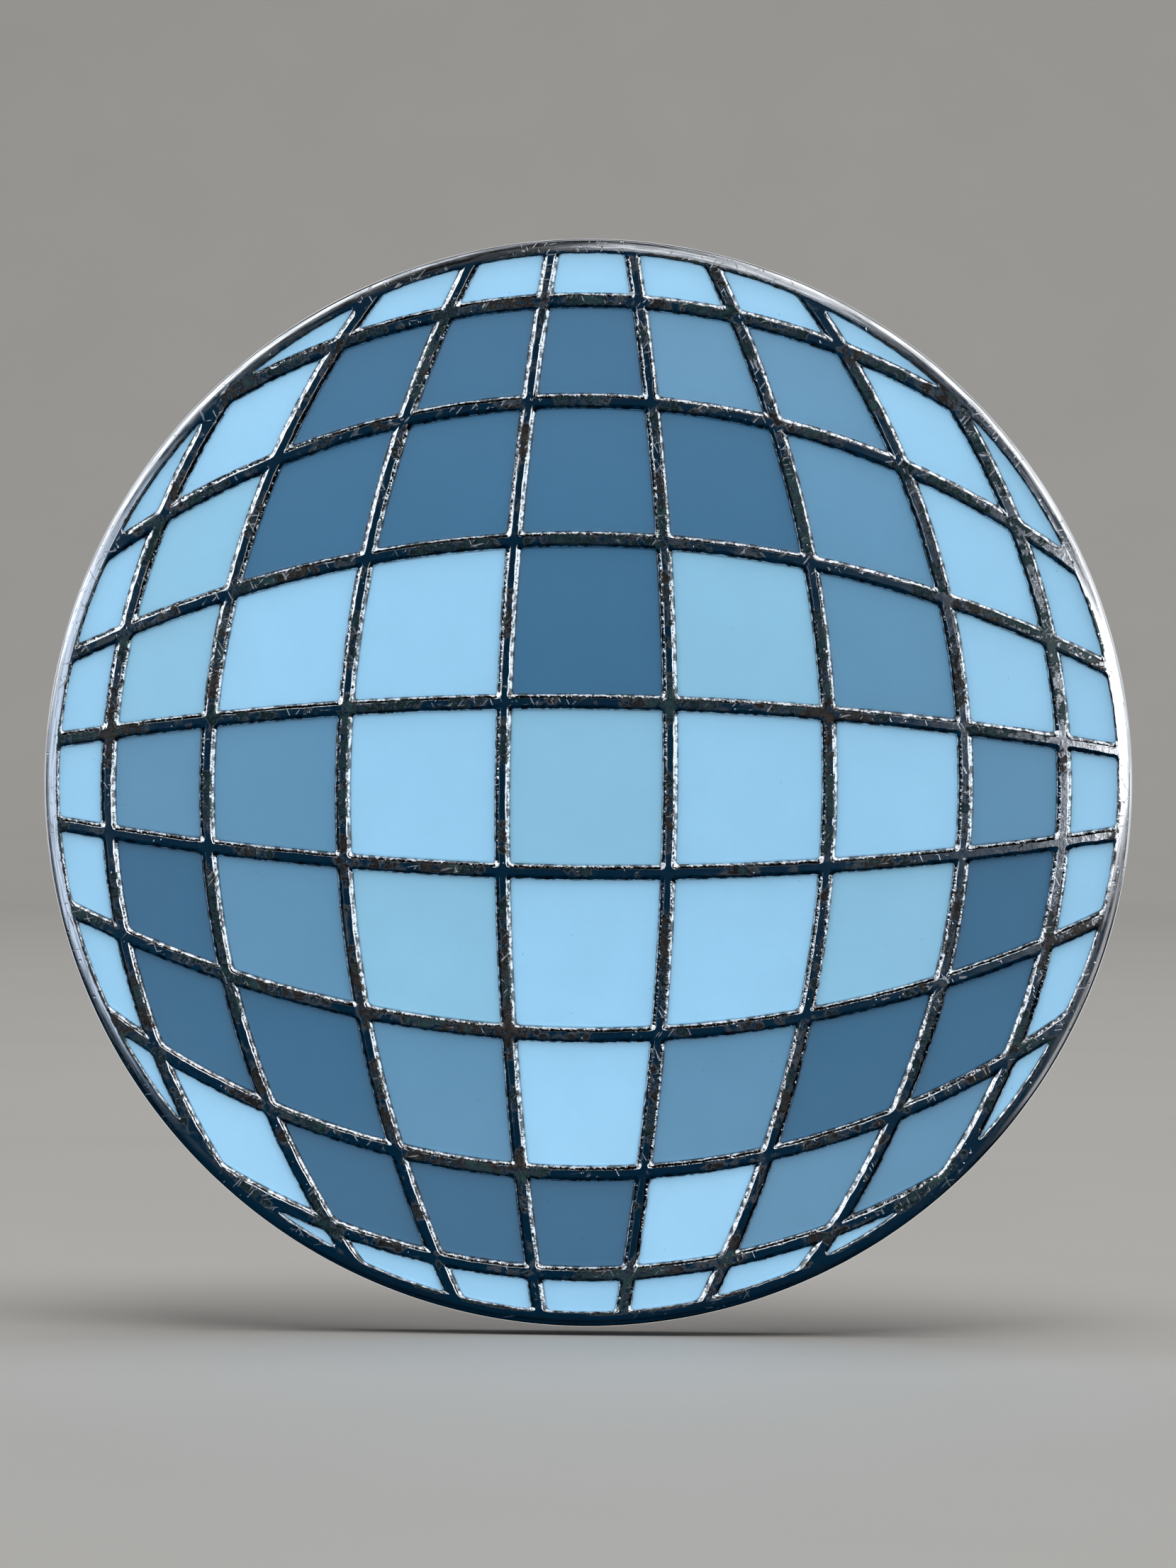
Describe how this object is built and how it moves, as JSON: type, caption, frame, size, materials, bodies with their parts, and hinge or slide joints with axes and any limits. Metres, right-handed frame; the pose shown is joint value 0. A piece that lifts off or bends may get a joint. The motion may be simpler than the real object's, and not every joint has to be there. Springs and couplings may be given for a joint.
{
  "type": "enamel pin badge",
  "caption": "Round enamel pin badge with a mirror-ball grid of blue cells between polished nickel walls, held on by posts with butterfly clutches.",
  "frame": {"origin": "centre of the flat back face of the badge disc, which rests against the cloth", "axes": "+Y out of the back face along the posts, -Y the way the enamelled face looks, +Z the top of the design, +X the right-hand side of the design seen from the front"},
  "size_m": [0.038, 0.0102, 0.038],
  "materials": {
    "polished_nickel": "polished nickel plating, finely scratched on the wall tops",
    "enamel_sky": "satin sky-blue enamel",
    "enamel_mist": "satin grey-blue enamel",
    "enamel_steel": "satin steel-blue enamel",
    "enamel_slate": "satin dark slate-blue enamel",
    "post_nickel": "nickel plating",
    "solder": "dull solder",
    "clutch_nickel": "stamped nickel-plated steel",
    "spring_nickel": "nickel-plated spring steel"
  },
  "bodies": {
    "badge": {"base_plate": "polished_nickel", "enamel_r2c2": "enamel_sky", "enamel_r2c3": "enamel_slate", "enamel_r2c4": "enamel_slate", "enamel_r2c5": "enamel_slate", "enamel_r2c6": "enamel_steel", "enamel_r2c7": "enamel_steel", "enamel_r2c8": "enamel_sky", "enamel_r3c2": "enamel_mist", "enamel_r3c3": "enamel_slate", "enamel_r3c4": "enamel_slate", "enamel_r3c5": "enamel_slate", "enamel_r3c6": "enamel_slate", "enamel_r3c7": "enamel_steel", "enamel_r3c8": "enamel_sky", "enamel_r4c2": "enamel_mist", "enamel_r4c3": "enamel_sky", "enamel_r4c4": "enamel_sky", "enamel_r4c5": "enamel_slate", "enamel_r4c6": "enamel_mist", "enamel_r4c7": "enamel_steel", "enamel_r4c8": "enamel_sky", "enamel_r5c2": "enamel_steel", "enamel_r5c3": "enamel_steel", "enamel_r5c4": "enamel_sky", "enamel_r5c5": "enamel_mist", "enamel_r5c6": "enamel_sky", "enamel_r5c7": "enamel_sky", "enamel_r5c8": "enamel_steel", "enamel_r6c2": "enamel_slate", "enamel_r6c3": "enamel_steel", "enamel_r6c4": "enamel_mist", "enamel_r6c5": "enamel_sky", "enamel_r6c6": "enamel_sky", "enamel_r6c7": "enamel_mist", "enamel_r6c8": "enamel_slate", "enamel_r7c2": "enamel_slate", "enamel_r7c3": "enamel_slate", "enamel_r7c4": "enamel_steel", "enamel_r7c5": "enamel_sky", "enamel_r7c6": "enamel_steel", "enamel_r7c7": "enamel_slate", "enamel_r7c8": "enamel_slate", "enamel_r8c2": "enamel_sky", "enamel_r8c3": "enamel_slate", "enamel_r8c4": "enamel_slate", "enamel_r8c5": "enamel_slate", "enamel_r8c6": "enamel_sky", "enamel_r8c7": "enamel_steel", "enamel_r8c8": "enamel_steel", "post_left": "post_nickel", "post_right": "post_nickel", "solder_left": "solder", "solder_right": "solder"},
    "clutch_left": {"clutch_left_plate": "clutch_nickel"},
    "clutch_left_wing_left": {"clutch_left_wing_left": "spring_nickel"},
    "clutch_left_wing_right": {"clutch_left_wing_right": "spring_nickel"},
    "clutch_right": {"clutch_right_plate": "clutch_nickel"},
    "clutch_right_wing_left": {"clutch_right_wing_left": "spring_nickel"},
    "clutch_right_wing_right": {"clutch_right_wing_right": "spring_nickel"}
  },
  "joints": [
    {"name": "clutch_left_slide", "type": "slide", "parent": "badge", "child": "clutch_left", "axis": [0, 1, 0], "range_m": [-0.0017, 0.009]},
    {"name": "clutch_left_wing_left_pinch", "type": "hinge", "parent": "clutch_left", "child": "clutch_left_wing_left", "pos_m": [-0.01155, 0.00455, 0.003], "axis": [0, 0, -1], "range_deg": [0, 14], "stiffness_Nm_per_rad": 0.02},
    {"name": "clutch_left_wing_right_pinch", "type": "hinge", "parent": "clutch_left", "child": "clutch_left_wing_right", "pos_m": [-0.00845, 0.00455, 0.003], "axis": [0, 0, 1], "range_deg": [0, 14], "stiffness_Nm_per_rad": 0.02},
    {"name": "clutch_right_slide", "type": "slide", "parent": "badge", "child": "clutch_right", "axis": [0, 1, 0], "range_m": [-0.0017, 0.009]},
    {"name": "clutch_right_wing_left_pinch", "type": "hinge", "parent": "clutch_right", "child": "clutch_right_wing_left", "pos_m": [0.00845, 0.00455, 0.003], "axis": [0, 0, -1], "range_deg": [0, 14], "stiffness_Nm_per_rad": 0.02},
    {"name": "clutch_right_wing_right_pinch", "type": "hinge", "parent": "clutch_right", "child": "clutch_right_wing_right", "pos_m": [0.01155, 0.00455, 0.003], "axis": [0, 0, 1], "range_deg": [0, 14], "stiffness_Nm_per_rad": 0.02}
  ]
}
